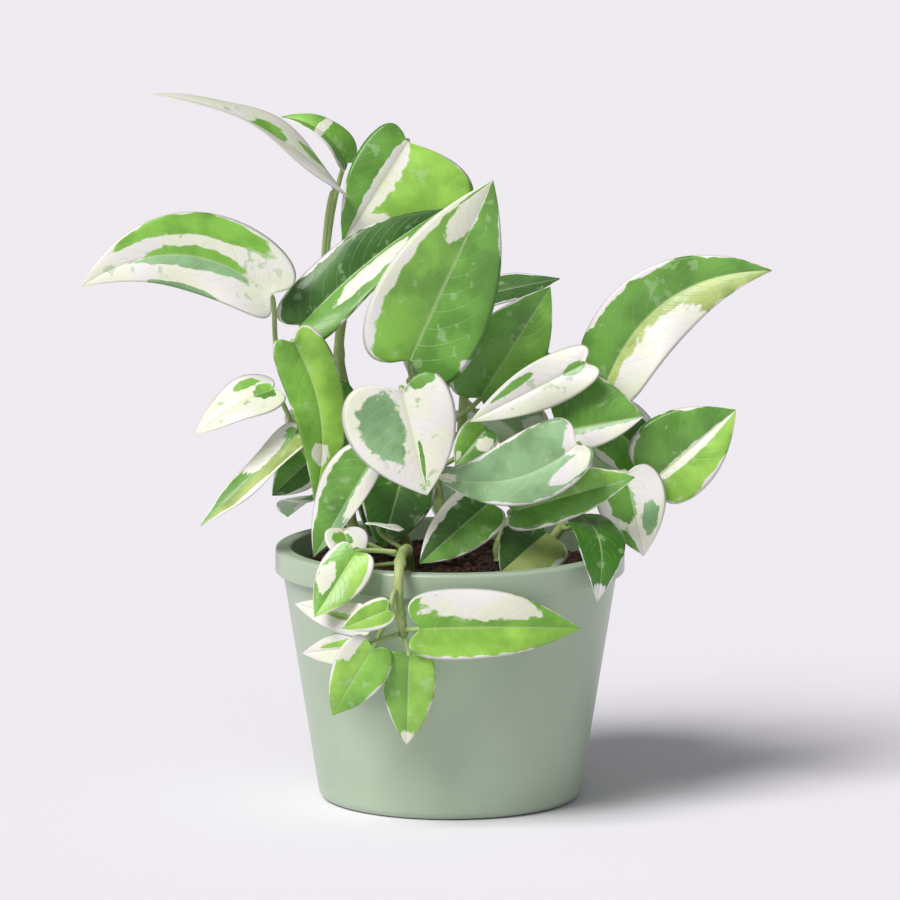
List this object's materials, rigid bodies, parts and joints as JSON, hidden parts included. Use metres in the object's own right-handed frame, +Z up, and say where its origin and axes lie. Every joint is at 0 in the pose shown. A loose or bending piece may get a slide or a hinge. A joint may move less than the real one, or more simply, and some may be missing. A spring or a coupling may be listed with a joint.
{
  "type": "potted pothos plant",
  "caption": "Variegated trailing houseplant with heart-shaped leaves on curving stems, growing in a round tapered pot with a plain rim.",
  "frame": {"origin": "centre of the pot's flat underside", "axes": "+Z up along the pot's axis, -Y towards the side with the leaves that trail over the rim, +X to the right of that side"},
  "size_m": [0.2743, 0.1771, 0.2843],
  "materials": {
    "pot_glaze": "satin",
    "soil": "matte",
    "stem": "satin",
    "leaf": "satin"
  },
  "bodies": {
    "root": {"leaf_back_far_left": "leaf", "leaf_back_far_right": "leaf", "leaf_back_left": "leaf", "leaf_back_low_left": "leaf", "leaf_back_low_right": "leaf", "leaf_back_right": "leaf", "leaf_back_top": "leaf", "leaf_back_trailing": "leaf", "leaf_back_upper_right": "leaf", "leaf_below_left": "leaf", "leaf_brown_green": "leaf", "leaf_centre": "leaf", "leaf_cream_lower": "leaf", "leaf_cream_upper": "leaf", "leaf_crown": "leaf", "leaf_curved_cream": "leaf", "leaf_dark_behind": "leaf", "leaf_dark_gap": "leaf", "leaf_dark_middle": "leaf", "leaf_dark_under": "leaf", "leaf_deep_left": "leaf", "leaf_far_left": "leaf", "leaf_front_low": "leaf", "leaf_hang_left": "leaf", "leaf_hang_low": "leaf", "leaf_inner_left": "leaf", "leaf_inner_right": "leaf", "leaf_left_upper": "leaf", "leaf_left_vertical": "leaf", "leaf_lower_right": "leaf", "leaf_on_soil": "leaf", "leaf_over_rim_left": "leaf", "leaf_over_rim_right": "leaf", "leaf_pale_centre": "leaf", "leaf_pot_front": "leaf", "leaf_right_centre": "leaf", "leaf_right_of_centre": "leaf", "leaf_right_outer": "leaf", "leaf_round_front": "leaf", "leaf_small_yellow": "leaf", "leaf_top_left": "leaf", "leaf_top_small": "leaf", "leaf_twisted": "leaf", "leaf_upper_right": "leaf", "leaf_white_band": "leaf", "leaf_white_left": "leaf", "leaf_white_right": "leaf", "leaf_yellow_left": "leaf", "pot": "pot_glaze", "soil": "soil", "vine_back": "stem", "vine_centre": "stem", "vine_left": "stem", "vine_low_right": "stem", "vine_over_rim": "stem", "vine_right": "stem", "vine_top": "stem"}
  },
  "joints": []
}
